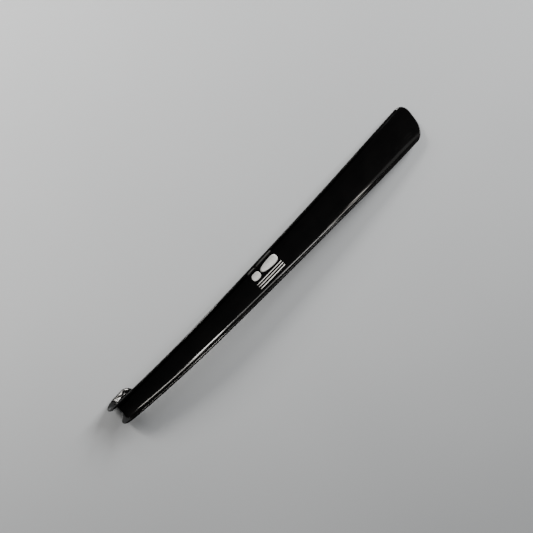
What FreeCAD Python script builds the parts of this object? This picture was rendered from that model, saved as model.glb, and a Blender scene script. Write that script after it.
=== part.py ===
import FreeCAD, Part
import math
import os

# A long plastic shoehorn, moulded in one piece: a trough-shaped handle that widens into a round-ended blade
# and, at the other end, is folded back on itself as a hook to hang it by. A white mark is printed on the
# handle's floor. The shoehorn lies on its back with the trough open upwards: +X towards the blade, Y across
# it, +Z up. The origin is the middle of the object's underside.

Vector = FreeCAD.Vector
FlatPoint = FreeCAD.Base.Vector2d

# --- Driving dimensions, in millimetres and degrees ---

WALL = 2.2                  # thickness of the moulding
RIM_ROUNDING = 1.05         # radius on the edges all round, so a rim is almost a half round
REST_SLOPE = 2.0            # how far the floor line is tipped forward when the shoehorn lies on its back

HOOK_FLOOR_RADIUS = 5.2     # bend of the trough's floor, measured on the trough side
HOOK_ANGLE = 163.0          # how far the hook folds back
HOOK_EASE = 0.18            # share of the bend's length over which its curvature comes in, and goes out
HOOK_START = 0.5            # where the bend begins, on the handle's side of the zero station

TONGUE_END = -34.6          # station of the hook's free end
TONGUE_CORNER_RADIUS = 9.0
TONGUE_END_RADIUS = 24.0

BLADE_END = 408.8           # station of the blade's tip
BLADE_CORNER_RADIUS = 16.0
BLADE_END_RADIUS = 44.0

# The trough, at stations along its floor line: station, half width between the rims' outer edges, depth, and
# power of the section's curve. Two gives a round trough, four gives a flat floor with steep walls.
SECTIONS = (
    (TONGUE_END, 9.7, 4.6, 2.0),
    (-18.0, 9.6, 5.0, 2.2),
    (-8.0, 9.2, 6.8, 2.8),
    (2.0, 9.9, 7.0, 2.8),
    (30.0, 10.9, 6.3, 3.6),
    (90.0, 12.2, 6.0, 4.0),
    (180.0, 14.3, 5.9, 4.0),
    (280.0, 16.7, 6.1, 3.4),
    (350.0, 18.9, 6.2, 2.7),
    (BLADE_END, 20.2, 6.1, 2.2),
)

# Slope of the handle's and the blade's floor line at stations: a slow arch, steepest at the hook.
SLOPES = (
    (0.0, 11.7),
    (60.0, 5.8),
    (120.0, 0.7),
    (200.0, -1.3),
    (300.0, -2.8),
    (BLADE_END, -5.9),
)

# The printed mark: a shoe sole's outline as two solid shapes, above three plain rules.
MARK_STATION = 192.3        # middle of the mark along the floor line
MARK_THICKNESS = 0.15
SOLE_LENGTH = 21.5
SOLE_HALF_WIDTH = 4.3
SOLE_TAPER = 0.24           # how much wider the sole is towards its toe than in its middle, as a share
HEEL_LENGTH = 9.8
HEEL_HALF_WIDTH = 3.9
SOLE_GAP = 1.6              # between the sole and the heel
SOLE_OFFSET = 3.8           # middle of the sole, left of the floor line
SQUARENESS = 0.72           # of the sole and the heel: one gives an oval, less gives fuller corners
RULE_LENGTH = 33.5
RULE_WIDTH = 0.7
RULE_OFFSETS = (-3.5, -6.1, -8.7)  # the rules, right of the floor line

# --- How finely the surfaces are described ---

DEGREE = 3
PATH_STEP = 0.25
FINE_SPAN = 1.2             # along the hook
COARSE_SPAN = 12.0          # along the handle and the blade
SPAN_GROWTH = 1.25          # each span is at most this much longer than the one before
SPANS_ACROSS = 20
POINTS_PER_ARC = 9
OFFSET_TOLERANCE = 1e-3
MEASURING_TOLERANCE = 0.02  # of the faceted copy that the size is measured on


def between(table, column, station):
    """A smooth value between the rows of a table, level with its first and last rows outside them."""
    if station <= table[0][0]:
        return table[0][column]
    if station >= table[-1][0]:
        return table[-1][column]
    row = 0
    while table[row + 1][0] < station:
        row += 1
    span = table[row + 1][0] - table[row][0]
    rise = table[row + 1][column] - table[row][column]
    start = tangent(table, column, row) * span
    end = tangent(table, column, row + 1) * span
    part = (station - table[row][0]) / span
    cubic = start + end - 2.0 * rise
    square = 3.0 * rise - 2.0 * start - end
    return table[row][column] + part * (start + part * (square + part * cubic))


def tangent(table, column, row):
    """The slope of a smooth curve through a table's rows, at one row, without any overshoot."""
    chords = []
    for first in (row - 1, row):
        if 0 <= first < len(table) - 1:
            run = table[first + 1][0] - table[first][0]
            chords.append((table[first + 1][column] - table[first][column]) / run)
    if len(chords) == 1:
        return chords[0]
    if chords[0] * chords[1] <= 0.0:
        return 0.0
    return 2.0 * chords[0] * chords[1] / (chords[0] + chords[1])


def eased(part):
    """The share of the hook's bend that is done, with the curvature coming in and going out evenly."""
    part = min(max(part, 0.0), 1.0)
    if part > 0.5:
        return 1.0 - eased(1.0 - part)
    if part < HOOK_EASE:
        return part * part / (2.0 * HOOK_EASE * (1.0 - HOOK_EASE))
    return (part - HOOK_EASE / 2.0) / (1.0 - HOOK_EASE)


def direction(station):
    """The floor line's slope in radians, towards the blade."""
    bend_length = math.radians(HOOK_ANGLE) * HOOK_FLOOR_RADIUS / (1.0 - HOOK_EASE)
    turned = HOOK_ANGLE * eased((HOOK_START - station) / bend_length)
    return math.radians(between(SLOPES, 1, station) - REST_SLOPE + turned)


def floor_line():
    """The floor line as closely spaced points: station, x, z."""
    count = round((BLADE_END - TONGUE_END) / PATH_STEP)
    step = (BLADE_END - TONGUE_END) / count
    points = [(TONGUE_END, 0.0, 0.0)]
    for index in range(count):
        station, x, z = points[-1]
        heading = direction(station + step / 2.0)
        station = TONGUE_END + (index + 1) * step
        points.append((station, x + step * math.cos(heading), z + step * math.sin(heading)))
    return points


def point_on_line(line, station):
    """A point of the floor line, between its two nearest points."""
    position = (station - line[0][0]) / (line[1][0] - line[0][0])
    index = min(int(position), len(line) - 2)
    part = position - index
    x = line[index][1] * (1.0 - part) + line[index + 1][1] * part
    z = line[index][2] * (1.0 - part) + line[index + 1][2] * part
    return x, z


def trough_point(line, station, across):
    """A point of the trough's surface. Across runs from -1 at the right rim to 1 at the left rim."""
    x, z = point_on_line(line, station)
    heading = direction(station)
    rise = between(SECTIONS, 2, station) * abs(across) ** between(SECTIONS, 3, station)
    y = between(SECTIONS, 1, station) * across
    return Vector(x - rise * math.sin(heading), y, z + rise * math.cos(heading))


def stations():
    """Where the surface's spans end: short ones along the hook, longer ones along the rest."""
    hook_spans = math.ceil((HOOK_START - TONGUE_END) / FINE_SPAN)
    found = [TONGUE_END + index * (HOOK_START - TONGUE_END) / hook_spans for index in range(hook_spans + 1)]
    span = FINE_SPAN
    while found[-1] + span < BLADE_END - COARSE_SPAN:
        span = min(span * SPAN_GROWTH, COARSE_SPAN)
        found.append(found[-1] + span)
    found.append(BLADE_END)
    return found


def pole_places(knots):
    """The parameter that each pole of a clamped spline stands for."""
    padded = [knots[0]] * DEGREE + knots + [knots[-1]] * DEGREE
    count = len(knots) + DEGREE - 1
    return [sum(padded[index + 1:index + 1 + DEGREE]) / DEGREE for index in range(count)]


def multiplicities(knots):
    return [DEGREE + 1] + [1] * (len(knots) - 2) + [DEGREE + 1]


def trough_surface(line):
    """The trough's inner surface. Its parameters are the station and the place across."""
    along = stations()
    across = [-1.0 + 2.0 * index / SPANS_ACROSS for index in range(SPANS_ACROSS + 1)]
    poles = []
    for station in pole_places(along):
        poles.append([trough_point(line, station, place) for place in pole_places(across)])
    surface = Part.BSplineSurface()
    surface.buildFromPolesMultsKnots(
        poles, multiplicities(along), multiplicities(across), along, across, False, False, DEGREE, DEGREE)
    return surface


def rounded_end(end, inward, corner_radius, end_radius):
    """One end's plan outline, from the right side round to the left, as stations and distances across."""
    side = between(SECTIONS, 1, end + inward * corner_radius)
    corner_y = side - corner_radius
    end_centre = end + inward * end_radius
    reach = math.sqrt((end_radius - corner_radius) ** 2 - corner_y ** 2)
    corner_centre = end_centre - inward * reach
    junction = math.atan2(reach, corner_y)
    half = []
    for index in range(POINTS_PER_ARC):
        angle = junction * index / (POINTS_PER_ARC - 1)
        half.append((corner_centre - inward * corner_radius * math.sin(angle),
                     corner_y + corner_radius * math.cos(angle)))
    for index in range(1, POINTS_PER_ARC):
        angle = junction + (math.pi / 2.0 - junction) * index / (POINTS_PER_ARC - 1)
        half.append((end_centre - inward * end_radius * math.sin(angle), end_radius * math.cos(angle)))
    right = [(station, -y) for station, y in half]
    return right + list(reversed(half[:-1]))


def smooth_outline(points, heading):
    """A plane curve through points, leaving along the heading and coming back against it."""
    curve = Part.Geom2d.BSplineCurve2d()
    curve.interpolate(
        Points=points, InitialTangent=FlatPoint(heading, 0.0), FinalTangent=FlatPoint(-heading, 0.0))
    return curve


def on_surface(surface, plane_curves):
    """The face that a closed outline cuts out of a surface. The outline is in the surface's parameters."""
    edges = [curve.toShape(surface) for curve in plane_curves]
    face = Part.Face(surface, Part.Wire(edges))
    if not face.isValid():
        face.validate()
    return face


def body_face(surface):
    """The whole trough, with both ends rounded."""
    ends = []
    for end, inward, corner_radius, end_radius in (
            (BLADE_END, -1.0, BLADE_CORNER_RADIUS, BLADE_END_RADIUS),
            (TONGUE_END, 1.0, TONGUE_CORNER_RADIUS, TONGUE_END_RADIUS)):
        outline = []
        for station, y in rounded_end(end, inward, corner_radius, end_radius):
            outline.append(FlatPoint(station, y / between(SECTIONS, 1, station)))
        outline[0].y = -1.0
        outline[-1].y = 1.0
        ends.append(outline)
    blade, tongue = ends
    right_side = Part.Geom2d.Line2dSegment(tongue[0], blade[0])
    left_side = Part.Geom2d.Line2dSegment(blade[-1], tongue[-1])
    tongue.reverse()
    return on_surface(surface, [
        right_side, smooth_outline(blade, 1.0), left_side, smooth_outline(tongue, -1.0)])


def shoehorn_body(surface):
    """The one moulding: the trough thickened on its outer side, with every rim rounded."""
    raw = body_face(surface).makeOffsetShape(-WALL, OFFSET_TOLERANCE, fill=True)
    inner_and_outer = sorted(raw.Faces, key=lambda face: face.Area)[-2:]
    rims = inner_and_outer[0].OuterWire.Edges + inner_and_outer[1].OuterWire.Edges
    return raw.makeFillet(RIM_ROUNDING, rims)


def mark_shape(surface, outline):
    """One printed shape: a thin layer of ink that follows the trough's floor."""
    points = [FlatPoint(station, y / between(SECTIONS, 1, station)) for station, y in outline]
    edges = []
    for first, second in zip(points, points[1:] + points[:1]):
        edges.append(Part.Geom2d.Line2dSegment(first, second))
    return on_surface(surface, edges).makeOffsetShape(MARK_THICKNESS, OFFSET_TOLERANCE, fill=True)


def full_oval(centre, offset, half_length, half_width, taper):
    """An oval with full corners, wider towards the blade by the taper."""
    points = []
    for index in range(4 * POINTS_PER_ARC):
        angle = 2.0 * math.pi * index / (4 * POINTS_PER_ARC)
        along = math.copysign(abs(math.cos(angle)) ** SQUARENESS, math.cos(angle))
        across = math.copysign(abs(math.sin(angle)) ** SQUARENESS, math.sin(angle))
        points.append((centre + half_length * along, offset + half_width * (1.0 + taper * along) * across))
    return points


def bar(centre, offset, length, width):
    """A straight rule's outline."""
    low = centre - length / 2.0
    high = centre + length / 2.0
    right = offset - width / 2.0
    left = offset + width / 2.0
    return [(low, right), (high, right), (high, left), (low, left)]


def printed_mark(surface):
    """The white mark: the sole, its heel and the rules, each a separate patch of ink."""
    start = MARK_STATION - (HEEL_LENGTH + SOLE_GAP + SOLE_LENGTH) / 2.0
    heel_centre = start + HEEL_LENGTH / 2.0
    sole_centre = start + HEEL_LENGTH + SOLE_GAP + SOLE_LENGTH / 2.0
    outlines = [
        full_oval(heel_centre, SOLE_OFFSET, HEEL_LENGTH / 2.0, HEEL_HALF_WIDTH, 0.0),
        full_oval(sole_centre, SOLE_OFFSET, SOLE_LENGTH / 2.0, SOLE_HALF_WIDTH, SOLE_TAPER),
    ]
    for offset in RULE_OFFSETS:
        outlines.append(bar(MARK_STATION, offset, RULE_LENGTH, RULE_WIDTH))
    return Part.makeCompound([mark_shape(surface, outline) for outline in outlines])


def measured_box(shape):
    """The shape's box, measured on a finely faceted copy."""
    box = FreeCAD.BoundBox()
    for point in shape.tessellate(MEASURING_TOLERANCE)[0]:
        box.add(point)
    return box


def main():
    os.makedirs("parts", exist_ok=True)
    surface = trough_surface(floor_line())
    nodes = {"shoehorn_body": shoehorn_body(surface), "printed_mark": printed_mark(surface)}
    box = measured_box(nodes["shoehorn_body"])
    origin = Vector((box.XMin + box.XMax) / 2.0, 0.0, box.ZMin)
    for name, shape in nodes.items():
        shape.translate(-origin)
        shape.exportStep("parts/" + name + ".step")
        print(name, shape.isValid(), len(shape.Solids), len(shape.Faces))
    print("size", round(box.XLength, 2), round(box.YLength, 2), round(box.ZLength, 2))


main()
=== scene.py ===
import math

import bpy
import numpy as np
from mathutils import Matrix, Vector


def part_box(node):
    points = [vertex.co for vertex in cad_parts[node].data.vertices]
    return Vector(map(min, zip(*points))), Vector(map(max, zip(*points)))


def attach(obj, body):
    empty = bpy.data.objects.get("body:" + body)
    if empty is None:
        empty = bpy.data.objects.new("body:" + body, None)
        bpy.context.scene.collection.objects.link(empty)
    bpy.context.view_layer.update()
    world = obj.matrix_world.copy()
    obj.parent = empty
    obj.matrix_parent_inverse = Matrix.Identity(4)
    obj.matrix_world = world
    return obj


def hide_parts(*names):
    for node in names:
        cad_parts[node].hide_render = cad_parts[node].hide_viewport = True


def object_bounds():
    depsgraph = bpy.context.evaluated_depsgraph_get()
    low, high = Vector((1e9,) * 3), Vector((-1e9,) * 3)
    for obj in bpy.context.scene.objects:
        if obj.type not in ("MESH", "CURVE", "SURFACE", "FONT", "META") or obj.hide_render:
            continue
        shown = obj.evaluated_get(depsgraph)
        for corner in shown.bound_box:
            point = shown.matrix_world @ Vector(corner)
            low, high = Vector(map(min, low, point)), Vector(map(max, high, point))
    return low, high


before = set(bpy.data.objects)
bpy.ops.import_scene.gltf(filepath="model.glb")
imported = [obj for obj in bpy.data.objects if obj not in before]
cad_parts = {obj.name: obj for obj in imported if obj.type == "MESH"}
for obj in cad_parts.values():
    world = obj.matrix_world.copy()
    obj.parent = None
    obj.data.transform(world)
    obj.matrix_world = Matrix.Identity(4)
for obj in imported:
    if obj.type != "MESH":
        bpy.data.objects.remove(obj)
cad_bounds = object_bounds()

# A long moulded plastic shoehorn lying on its back. The CAD model fixes its size and place. This script
# makes its one moulding again as a dense smooth mesh with fully rounded rims, and its mark as thin ink.

# --- The moulding's design, in millimetres and degrees, as the CAD model has it ---

WALL = 2.2
REST_SLOPE = 2.0

HOOK_FLOOR_RADIUS = 5.2
HOOK_ANGLE = 163.0
HOOK_EASE = 0.18
HOOK_START = 0.5

TONGUE_END = -34.6
TONGUE_CORNER_RADIUS = 9.0
TONGUE_END_RADIUS = 24.0

BLADE_END = 408.8
BLADE_CORNER_RADIUS = 16.0
BLADE_END_RADIUS = 44.0

# Station along the floor line, half width, depth, and power of the section's curve
SECTIONS = (
    (TONGUE_END, 9.7, 4.6, 2.0),
    (-18.0, 9.6, 5.0, 2.2),
    (-8.0, 9.2, 6.8, 2.8),
    (2.0, 9.9, 7.0, 2.8),
    (30.0, 10.9, 6.3, 3.6),
    (90.0, 12.2, 6.0, 4.0),
    (180.0, 14.3, 5.9, 4.0),
    (280.0, 16.7, 6.1, 3.4),
    (350.0, 18.9, 6.2, 2.7),
    (BLADE_END, 20.2, 6.1, 2.2),
)

# Station and slope of the floor line
SLOPES = (
    (0.0, 11.7),
    (60.0, 5.8),
    (120.0, 0.7),
    (200.0, -1.3),
    (300.0, -2.8),
    (BLADE_END, -5.9),
)

MARK_STATION = 192.3
SOLE_LENGTH = 21.5
SOLE_HALF_WIDTH = 4.3
SOLE_TAPER = 0.24
HEEL_LENGTH = 9.8
HEEL_HALF_WIDTH = 3.9
SOLE_GAP = 1.6
SOLE_OFFSET = 3.8
SQUARENESS = 0.72
RULE_LENGTH = 33.5
RULE_WIDTH = 0.7
RULE_OFFSETS = (-3.5, -6.1, -8.7)

# --- How finely the meshes are made ---

LINE_STEP = 0.25        # spacing of the points that the floor line is worked out at
ROW_STEP = 1.0          # spacing of the mesh's rows along the shaft
COLUMNS = 64            # columns across the trough
END_ROWS = 18           # rows that turn from straight to an end's outline
OUTLINE_POINTS = 400    # points on each stretch of an end's outline, before they are spaced evenly
RIM_STEPS = 12          # steps round a rim's half circle
DERIVATIVE_STEP = 0.01  # for the surface's normals
INK_RINGS = 6
INK_SIDES = 72
INK_HEIGHT = 0.04       # how far the ink stands above the plastic
INK_DEPTH = 0.01        # how far it reaches into it

MM = 0.001

# --- The camera, in metres and degrees ---

CAMERA_TARGET = Vector((-0.0036, 0.0028, 0.0200))
CAMERA_DISTANCE = 0.62
CAMERA_SIDE_TILT = 20.6     # from straight above towards +Y
CAMERA_END_SWING = 2.4      # from straight above towards the hook
CAMERA_LEAN = 44.8          # how far the shoehorn's length rises across the view
CAMERA_LENS = 43.3          # millimetres, on Blender's 36 mm sensor
CAMERA_CLIP_START = 0.01


# --- The trough's shape ---

def tangent(table, column, row):
    """The slope of a smooth curve through a table's rows, at one row, without any overshoot."""
    chords = []
    for first in (row - 1, row):
        if 0 <= first < len(table) - 1:
            run = table[first + 1][0] - table[first][0]
            chords.append((table[first + 1][column] - table[first][column]) / run)
    if len(chords) == 1:
        return chords[0]
    if chords[0] * chords[1] <= 0.0:
        return 0.0
    return 2.0 * chords[0] * chords[1] / (chords[0] + chords[1])


def between(table, column, station):
    """A smooth value between the rows of a table, level with its first and last rows outside them."""
    if station <= table[0][0]:
        return table[0][column]
    if station >= table[-1][0]:
        return table[-1][column]
    row = 0
    while table[row + 1][0] < station:
        row += 1
    span = table[row + 1][0] - table[row][0]
    rise = table[row + 1][column] - table[row][column]
    start = tangent(table, column, row) * span
    end = tangent(table, column, row + 1) * span
    part = (station - table[row][0]) / span
    cubic = start + end - 2.0 * rise
    square = 3.0 * rise - 2.0 * start - end
    return table[row][column] + part * (start + part * (square + part * cubic))


def eased(part):
    """The share of the hook's bend that is done, with the curvature coming in and going out evenly."""
    part = min(max(part, 0.0), 1.0)
    if part > 0.5:
        return 1.0 - eased(1.0 - part)
    if part < HOOK_EASE:
        return part * part / (2.0 * HOOK_EASE * (1.0 - HOOK_EASE))
    return (part - HOOK_EASE / 2.0) / (1.0 - HOOK_EASE)


def direction(station):
    """The floor line's slope in radians, towards the blade."""
    bend_length = math.radians(HOOK_ANGLE) * HOOK_FLOOR_RADIUS / (1.0 - HOOK_EASE)
    turned = HOOK_ANGLE * eased((HOOK_START - station) / bend_length)
    return math.radians(between(SLOPES, 1, station) - REST_SLOPE + turned)


class Trough:
    """The trough's inner surface, worked out once along the floor line and then read at any place."""

    def __init__(self):
        count = round((BLADE_END - TONGUE_END) / LINE_STEP)
        self.stations = np.linspace(TONGUE_END, BLADE_END, count + 1)
        step = self.stations[1] - self.stations[0]
        middles = [direction(station + step / 2.0) for station in self.stations[:-1]]
        self.x = np.concatenate([[0.0], np.cumsum(np.cos(middles))]) * step
        self.z = np.concatenate([[0.0], np.cumsum(np.sin(middles))]) * step
        self.heading = np.array([direction(station) for station in self.stations])
        self.widths, self.depths, self.powers = (
            np.array([between(SECTIONS, column, station) for station in self.stations])
            for column in (1, 2, 3))

    def read(self, values, station):
        """Values along the floor line, read at any stations."""
        return np.interp(station, self.stations, values)

    def half_width(self, station):
        return self.read(self.widths, station)

    def points(self, station, y):
        """Points of the surface, at stations and distances across."""
        beyond = np.maximum(station - BLADE_END, 0.0) + np.minimum(station - TONGUE_END, 0.0)
        heading = self.read(self.heading, station)
        across = np.abs(y) / self.half_width(station)
        rise = self.read(self.depths, station) * across ** self.read(self.powers, station)
        x = self.read(self.x, station) + beyond * np.cos(heading) - rise * np.sin(heading)
        z = self.read(self.z, station) + beyond * np.sin(heading) + rise * np.cos(heading)
        return np.stack([x, y, z], axis=-1)

    def normals(self, station, y):
        """Unit normals, pointing out of the trough."""
        step = DERIVATIVE_STEP
        along = self.points(station + step, y) - self.points(station - step, y)
        across = self.points(station, y + step) - self.points(station, y - step)
        normal = np.cross(along, across)
        return normal / np.linalg.norm(normal, axis=-1, keepdims=True)

    def inset(self, station):
        """How far in from the side, across, the rim's rounding starts."""
        width = self.half_width(station)
        steepness = self.read(self.powers, station) * self.read(self.depths, station) / width
        return WALL / 2.0 / np.sqrt(1.0 + steepness ** 2)


def end_outline(trough, end, inward, corner_radius, end_radius):
    """An end's plan outline, inside the rim's rounding: the station where the corners start, the left
    corner's first half, and the end row from the right corner's middle to the left corner's middle."""
    rounding = WALL / 2.0
    corner_start = end + inward * corner_radius
    side = float(trough.half_width(corner_start) - trough.inset(corner_start))
    end_inside = end + inward * rounding
    radius = corner_radius - rounding
    arc_radius = end_radius - rounding
    corner_y = side - radius
    reach = math.sqrt((arc_radius - radius) ** 2 - corner_y ** 2)
    arc_centre = end_inside + inward * arc_radius
    corner_centre = arc_centre - inward * reach
    junction = math.atan2(reach, corner_y)

    def corner(angle):
        return corner_centre - inward * radius * np.sin(angle), corner_y + radius * np.cos(angle)

    def arc(angle):
        return arc_centre - inward * arc_radius * np.sin(angle), arc_radius * np.cos(angle)

    first_half = np.stack(corner(np.linspace(0.0, junction / 2.0, END_ROWS + 1)), axis=-1)
    half = np.concatenate([
        np.stack(corner(np.linspace(junction / 2.0, junction, OUTLINE_POINTS)), axis=-1),
        np.stack(arc(np.linspace(junction, math.pi / 2.0, OUTLINE_POINTS)), axis=-1)[1:]])
    whole = np.concatenate([half * [1.0, -1.0], half[::-1][1:]])
    lengths = np.concatenate([[0.0], np.cumsum(np.linalg.norm(np.diff(whole, axis=0), axis=1))])
    wanted = np.linspace(0.0, lengths[-1], COLUMNS + 1)
    end_row = np.stack([np.interp(wanted, lengths, whole[:, axis]) for axis in (0, 1)], axis=-1)
    return corner_centre, first_half, end_row


def end_patch(trough, end, inward, corner_radius, end_radius):
    """Rows of plan points that turn from a straight row at the corners' start to the end's outline."""
    start, first_half, end_row = end_outline(trough, end, inward, corner_radius, end_radius)
    part = np.linspace(0.0, 1.0, END_ROWS + 1)[:, None, None]
    place = np.linspace(0.0, 1.0, COLUMNS + 1)[None, :, None]
    side = first_half[0, 1]
    first_row = np.stack([np.full(COLUMNS + 1, start), np.linspace(-side, side, COLUMNS + 1)], axis=-1)
    left = first_half[:, None, :]
    right = left * [1.0, -1.0]
    rows = (1.0 - part) * first_row + part * end_row + (1.0 - place) * right + place * left
    rows -= (1.0 - part) * ((1.0 - place) * first_row[0] + place * first_row[-1])
    rows -= part * ((1.0 - place) * end_row[0] + place * end_row[-1])
    return start, rows


def plan_grid(trough):
    """The whole trough's plan, as rows across it from the hook's free end to the blade's tip."""
    tongue_start, tongue = end_patch(trough, TONGUE_END, 1.0, TONGUE_CORNER_RADIUS, TONGUE_END_RADIUS)
    blade_start, blade = end_patch(trough, BLADE_END, -1.0, BLADE_CORNER_RADIUS, BLADE_END_RADIUS)
    count = round((blade_start - tongue_start) / ROW_STEP)
    stations = np.linspace(tongue_start, blade_start, count + 1)[1:-1]
    sides = trough.half_width(stations) - trough.inset(stations)
    places = np.linspace(-1.0, 1.0, COLUMNS + 1)
    middle = np.stack([np.repeat(stations[:, None], COLUMNS + 1, axis=1), sides[:, None] * places], axis=-1)
    return np.concatenate([tongue[::-1], middle, blade])


def perimeter(rows, columns):
    """The indices of a grid's border, once round."""
    grid = np.arange(rows * columns).reshape(rows, columns)
    return np.concatenate([grid[:-1, 0], grid[-1, :-1], grid[:0:-1, -1], grid[0, :0:-1]])


def grid_faces(rows, columns, start, flipped):
    """The quads of a grid of vertices, numbered from start."""
    index = np.arange(rows * columns).reshape(rows, columns) + start
    corners = [index[:-1, :-1], index[1:, :-1], index[1:, 1:], index[:-1, 1:]]
    if flipped:
        corners.reverse()
    return np.stack([corner.ravel() for corner in corners], axis=-1)


def moulding(trough):
    """The moulding's vertices in millimetres, and its faces: inner side, outer side and rounded rim."""
    plan = plan_grid(trough)
    rows, columns = plan.shape[:2]
    station = plan[..., 0].ravel()
    y = plan[..., 1].ravel()
    inner = trough.points(station, y)
    normal = trough.normals(station, y)
    outer = inner - WALL * normal

    border = perimeter(rows, columns)
    around = np.roll(inner[border], -1, axis=0) - np.roll(inner[border], 1, axis=0)
    outward = np.cross(around, normal[border])
    outward /= np.linalg.norm(outward, axis=1, keepdims=True)
    centre = inner[border] - normal[border] * WALL / 2.0
    rings = []
    for step in range(1, RIM_STEPS):
        angle = math.pi * step / RIM_STEPS
        rings.append(centre + (normal[border] * math.cos(angle) + outward * math.sin(angle)) * WALL / 2.0)
    vertices = np.concatenate([inner, outer] + rings)

    count = rows * columns
    loops = [border]
    for step in range(RIM_STEPS - 1):
        loops.append(2 * count + step * len(border) + np.arange(len(border)))
    loops.append(border + count)
    faces = [grid_faces(rows, columns, 0, False), grid_faces(rows, columns, count, True)]
    for upper, lower in zip(loops[:-1], loops[1:]):
        faces.append(np.stack([upper, lower, np.roll(lower, -1), np.roll(upper, -1)], axis=-1))
    return vertices, np.concatenate(faces)


# --- Making objects ---

def add_mesh(name, vertices, faces, shift):
    """A smooth-shaded object from millimetre vertices, moved into the frame."""
    mesh = bpy.data.meshes.new(name)
    mesh.from_pydata(((vertices * MM) + shift).tolist(), [], [list(map(int, face)) for face in faces])
    mesh.polygons.foreach_set("use_smooth", [True] * len(mesh.polygons))
    mesh.validate()
    mesh.update()
    piece = bpy.data.objects.new(name, mesh)
    bpy.context.collection.objects.link(piece)
    return piece


def make_body(trough):
    """Makes the moulding. Returns the shift in metres from the floor line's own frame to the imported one."""
    vertices, faces = moulding(trough)
    low, high = (np.array(corner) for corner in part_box("shoehorn_body"))
    middle = (vertices.min(axis=0) + vertices.max(axis=0)) / 2.0 * MM
    shift = (low + high) / 2.0 - middle
    shift[1] = 0.0
    shift[2] = low[2] - vertices[:, 2].min() * MM
    piece = add_mesh("shoehorn_moulding", vertices, faces, shift)
    piece.data.materials.append(black_plastic())
    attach(piece, "root")
    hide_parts("shoehorn_body")
    return shift


def ink_patch(name, trough, shift, outline, centre, material):
    """A thin closed patch of ink on the trough's floor, filled from its outline to its centre in rings."""
    outline = np.array(outline)
    parts = (np.arange(INK_RINGS) + 1.0) / INK_RINGS
    plan = np.concatenate([centre + (outline - centre) * part for part in parts] + [np.array([centre])])
    surface = trough.points(plan[:, 0], plan[:, 1])
    normal = trough.normals(plan[:, 0], plan[:, 1])
    vertices = np.concatenate([surface + normal * INK_HEIGHT, surface - normal * INK_DEPTH])
    sides = len(outline)
    middle = INK_RINGS * sides
    under = len(plan)
    faces = []
    for side in range(sides):
        following = (side + 1) % sides
        faces.append([middle, side, following])
        faces.append([under + middle, under + following, under + side])
        for ring in range(INK_RINGS - 1):
            first = ring * sides + side
            second = ring * sides + following
            faces.append([first, first + sides, second + sides, second])
            faces.append([under + second, under + second + sides, under + first + sides, under + first])
        first = (INK_RINGS - 1) * sides + side
        second = (INK_RINGS - 1) * sides + following
        faces.append([first, under + first, under + second, second])
    piece = add_mesh(name, vertices, faces, shift)
    piece.data.materials.append(material)
    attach(piece, "root")
    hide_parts("printed_mark")


def full_oval(centre, offset, half_length, half_width, taper):
    """An oval with full corners, wider towards the blade by the taper."""
    angles = np.linspace(0.0, 2.0 * math.pi, INK_SIDES, endpoint=False)
    along = np.sign(np.cos(angles)) * np.abs(np.cos(angles)) ** SQUARENESS
    across = np.sign(np.sin(angles)) * np.abs(np.sin(angles)) ** SQUARENESS
    widths = half_width * (1.0 + taper * along)
    return np.stack([centre + half_length * along, offset + widths * across], axis=-1)


def bar(centre, offset, length, width):
    """A straight rule's outline, with points all along it."""
    places = np.linspace(-0.5, 0.5, INK_SIDES // 2)
    right = np.stack([centre + length * places, np.full(len(places), offset - width / 2.0)], axis=-1)
    left = np.stack([centre - length * places, np.full(len(places), offset + width / 2.0)], axis=-1)
    return np.concatenate([right, left])


def make_mark(trough, shift):
    """The printed sole, its heel and the rules."""
    material = white_ink()
    start = MARK_STATION - (HEEL_LENGTH + SOLE_GAP + SOLE_LENGTH) / 2.0
    heel_centre = start + HEEL_LENGTH / 2.0
    sole_centre = start + HEEL_LENGTH + SOLE_GAP + SOLE_LENGTH / 2.0
    heel = full_oval(heel_centre, SOLE_OFFSET, HEEL_LENGTH / 2.0, HEEL_HALF_WIDTH, 0.0)
    sole = full_oval(sole_centre, SOLE_OFFSET, SOLE_LENGTH / 2.0, SOLE_HALF_WIDTH, SOLE_TAPER)
    ink_patch("mark_heel", trough, shift, heel, (heel_centre, SOLE_OFFSET), material)
    ink_patch("mark_sole", trough, shift, sole, (sole_centre, SOLE_OFFSET), material)
    for number, offset in enumerate(RULE_OFFSETS, 1):
        rule = bar(MARK_STATION, offset, RULE_LENGTH, RULE_WIDTH)
        ink_patch("mark_rule_%d" % number, trough, shift, rule, (MARK_STATION, offset), material)


# --- Materials, in metres on the object's own axes ---

RIPPLE_FADE_X = (-0.186, -0.170)    # the hook's ripples die away between these places along the handle,
RIPPLE_FADE_Z = (0.009, 0.016)      # and between these heights


def new_material(name):
    """A material's tree, with its shader and its object coordinates."""
    material = bpy.data.materials.new(name)
    material.use_nodes = True
    tree = material.node_tree
    shader = tree.nodes["Principled BSDF"]
    coordinates = tree.nodes.new("ShaderNodeTexCoord")
    return material, tree, shader, coordinates.outputs["Object"]


def noise(tree, coordinates, scale, detail, stretch=(1.0, 1.0, 1.0)):
    """Noise over the surface, its cells stretched along the axes."""
    mapping = tree.nodes.new("ShaderNodeMapping")
    mapping.inputs["Scale"].default_value = stretch
    texture = tree.nodes.new("ShaderNodeTexNoise")
    texture.inputs["Scale"].default_value = scale
    texture.inputs["Detail"].default_value = detail
    tree.links.new(coordinates, mapping.inputs["Vector"])
    tree.links.new(mapping.outputs["Vector"], texture.inputs["Vector"])
    return texture.outputs["Fac"]


def ramp(tree, source, stops):
    """A colour ramp over a source, with two stops."""
    node = tree.nodes.new("ShaderNodeValToRGB")
    for element, (position, colour) in zip(node.color_ramp.elements, stops):
        element.position = position
        element.color = (*colour, 1.0)
    tree.links.new(source, node.inputs["Fac"])
    return node.outputs["Color"]


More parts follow.
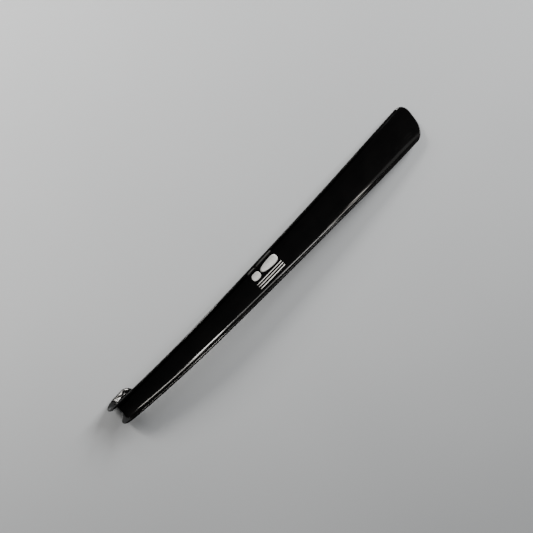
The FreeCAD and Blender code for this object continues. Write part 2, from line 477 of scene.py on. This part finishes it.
def remap(tree, source, old, new):
    """A source with its old range turned into a new one, and held at its ends."""
    node = tree.nodes.new("ShaderNodeMapRange")
    node.inputs["From Min"].default_value = old[0]
    node.inputs["From Max"].default_value = old[1]
    node.inputs["To Min"].default_value = new[0]
    node.inputs["To Max"].default_value = new[1]
    tree.links.new(source, node.inputs["Value"])
    return node.outputs["Result"]


def combine(tree, operation, first, second):
    """Two values added, multiplied and so on."""
    node = tree.nodes.new("ShaderNodeMath")
    node.operation = operation
    tree.links.new(first, node.inputs[0])
    tree.links.new(second, node.inputs[1])
    return node.outputs["Value"]


def bump(tree, height, strength, distance, before=None):
    """A surface normal with a relief, on top of another relief if there is one before it."""
    node = tree.nodes.new("ShaderNodeBump")
    node.inputs["Strength"].default_value = strength
    node.inputs["Distance"].default_value = distance
    tree.links.new(height, node.inputs["Height"])
    if before is not None:
        tree.links.new(before, node.inputs["Normal"])
    return node.outputs["Normal"]


def hook_share(tree, place):
    """One low on the hook, where its tongue is, falling to nothing up the bend and along the handle."""
    axes = tree.nodes.new("ShaderNodeSeparateXYZ")
    tree.links.new(place, axes.inputs["Vector"])
    lengthwise = remap(tree, axes.outputs["X"], RIPPLE_FADE_X, (1.0, 0.0))
    low = remap(tree, axes.outputs["Z"], RIPPLE_FADE_Z, (1.0, 0.0))
    return combine(tree, "MULTIPLY", lengthwise, low)


def black_plastic():
    """Polished black moulded plastic: slow waves from cooling, ripples where the hook was folded, and
    fine lengthwise scuffs."""
    material, tree, shader, place = new_material("gloss_black_plastic")
    patches = noise(tree, place, scale=60.0, detail=3.0)
    tint = ramp(tree, patches, [(0.3, (0.0016, 0.0016, 0.0017)), (0.7, (0.0028, 0.0027, 0.0027))])
    tree.links.new(tint, shader.inputs["Base Color"])
    scratches = noise(tree, place, scale=900.0, detail=4.0, stretch=(0.06, 1.0, 1.0))
    scuffs = remap(tree, scratches, (0.56, 0.74), (0.0, 0.10))
    clouds = remap(tree, noise(tree, place, scale=45.0, detail=3.0), (0.3, 0.7), (0.08, 0.12))
    tree.links.new(combine(tree, "ADD", scuffs, clouds), shader.inputs["Roughness"])
    swell = noise(tree, place, scale=38.0, detail=1.0, stretch=(0.5, 1.0, 1.0))
    waves = bump(tree, swell, strength=0.25, distance=0.0006)
    ripples = noise(tree, place, scale=260.0, detail=1.0, stretch=(0.35, 1.0, 1.0))
    on_hook = combine(tree, "MULTIPLY", ripples, hook_share(tree, place))
    folded = bump(tree, on_hook, strength=0.8, distance=0.0011, before=waves)
    grain = noise(tree, place, scale=1500.0, detail=3.0, stretch=(0.08, 1.0, 1.0))
    finish = bump(tree, grain, strength=0.05, distance=0.0001, before=folded)
    tree.links.new(finish, shader.inputs["Normal"])
    shader.inputs["IOR"].default_value = 1.5
    shader.inputs["Specular IOR Level"].default_value = 0.36
    return material


def white_ink():
    """Pad-printed white ink: almost opaque, faintly mottled, with a slight relief."""
    material, tree, shader, place = new_material("white_pad_print")
    mottling = noise(tree, place, scale=1400.0, detail=4.0)
    colour = ramp(tree, mottling, [(0.25, (0.62, 0.60, 0.56)), (0.55, (0.86, 0.85, 0.82))])
    tree.links.new(colour, shader.inputs["Base Color"])
    rough = remap(tree, noise(tree, place, scale=700.0, detail=3.0), (0.3, 0.7), (0.38, 0.55))
    tree.links.new(rough, shader.inputs["Roughness"])
    relief = noise(tree, place, scale=2500.0, detail=3.0)
    tree.links.new(bump(tree, relief, strength=0.15, distance=0.0001), shader.inputs["Normal"])
    return material


def pale_floor():
    """A matt pale sheet with a very slow change of tone."""
    material, tree, shader, place = new_material("pale_floor")
    tone = noise(tree, place, scale=3.0, detail=2.0)
    colour = ramp(tree, tone, [(0.3, (0.56, 0.58, 0.60)), (0.7, (0.60, 0.62, 0.64))])
    tree.links.new(colour, shader.inputs["Base Color"])
    shader.inputs["Roughness"].default_value = 0.8
    return material


# --- The studio ---

FLOOR_SIZE = 6.0
SKY_COLOUR = (0.046, 0.045, 0.045)

# Name, place, aim, width along its own X, height, power in watts, colour. The side panels stand in a row
# on the +Y side, and each gives a stretch of the highlight inside the wall across from it. The end panel
# lights the floor from beyond the blade, where the trough doesn't mirror it towards the camera.
LIGHTS = (
    ("side_panel_1", (-0.33, 0.75, 0.30), (-0.15, 0.0, 0.02), 0.27, 0.07, 1.7, (1.0, 0.96, 0.90)),
    ("side_panel_2", (-0.17, 0.75, 0.45), (-0.10, 0.0, 0.02), 0.16, 0.15, 4.2, (1.0, 0.97, 0.93)),
    ("side_panel_3", (0.03, 0.75, 0.41), (0.00, 0.0, 0.02), 0.26, 0.09, 0.52, (1.0, 0.98, 0.96)),
    ("side_panel_4", (0.22, 0.75, 0.35), (0.06, 0.0, 0.02), 0.20, 0.07, 0.72, (1.0, 0.98, 0.96)),
    ("side_panel_5", (0.38, 0.75, 0.48), (0.10, 0.0, 0.02), 0.14, 0.04, 0.30, (1.0, 0.96, 0.90)),
    ("side_panel_6", (0.51, 0.75, 0.68), (0.12, 0.0, 0.02), 0.08, 0.06, 0.40, (1.0, 0.96, 0.90)),
    ("side_panel_7", (0.80, 0.75, 0.95), (0.15, 0.0, 0.02), 0.40, 0.20, 0.17, (1.0, 0.98, 0.96)),
    ("end_panel", (1.70, 0.45, 0.80), (0.0, 0.0, 0.0), 0.90, 0.60, 58.0, (1.0, 0.99, 0.97)),
)


def make_floor():
    """The sheet that the shoehorn lies on."""
    bpy.ops.mesh.primitive_plane_add(size=FLOOR_SIZE, location=(0.0, 0.0, cad_bounds[0][2]))
    floor = bpy.context.object
    floor.name = "floor"
    floor.data.materials.append(pale_floor())


def make_lights():
    """The dim sky and the panels."""
    world = bpy.data.worlds.new("studio")
    world.use_nodes = True
    world.node_tree.nodes["Background"].inputs["Color"].default_value = (*SKY_COLOUR, 1.0)
    bpy.context.scene.world = world
    for name, place, aim, width, height, power, colour in LIGHTS:
        lamp = bpy.data.lights.new(name, "AREA")
        lamp.shape = "RECTANGLE"
        lamp.size = width
        lamp.size_y = height
        lamp.energy = power
        lamp.color = colour
        holder = bpy.data.objects.new(name, lamp)
        holder.location = place
        holder.rotation_euler = (Vector(aim) - Vector(place)).to_track_quat("-Z", "Y").to_euler()
        bpy.context.collection.objects.link(holder)


def make_camera():
    """The camera, above the shoehorn's left side, rolled so that the shoehorn rises to the right."""
    tilt, swing, lean = (math.radians(angle) for angle in (CAMERA_SIDE_TILT, CAMERA_END_SWING, CAMERA_LEAN))
    back = Vector((-math.sin(swing), math.sin(tilt) * math.cos(swing), math.cos(tilt) * math.cos(swing)))
    along = Vector((math.cos(swing), math.sin(swing) * math.sin(tilt), math.sin(swing) * math.cos(tilt)))
    across = Vector((0.0, -math.cos(tilt), math.sin(tilt)))
    right = along * math.cos(lean) + across * math.sin(lean)
    up = along * math.sin(lean) - across * math.cos(lean)
    lens = bpy.data.cameras.new("camera")
    lens.lens = CAMERA_LENS
    lens.clip_start = CAMERA_CLIP_START
    holder = bpy.data.objects.new("camera", lens)
    turn = Matrix((right, up, back)).transposed().to_4x4()
    holder.matrix_world = Matrix.Translation(CAMERA_TARGET + back * CAMERA_DISTANCE) @ turn
    bpy.context.collection.objects.link(holder)
    bpy.context.scene.camera = holder


def main():
    make_camera()
    make_lights()
    make_floor()
    trough = Trough()
    shift = make_body(trough)
    make_mark(trough, shift)


main()
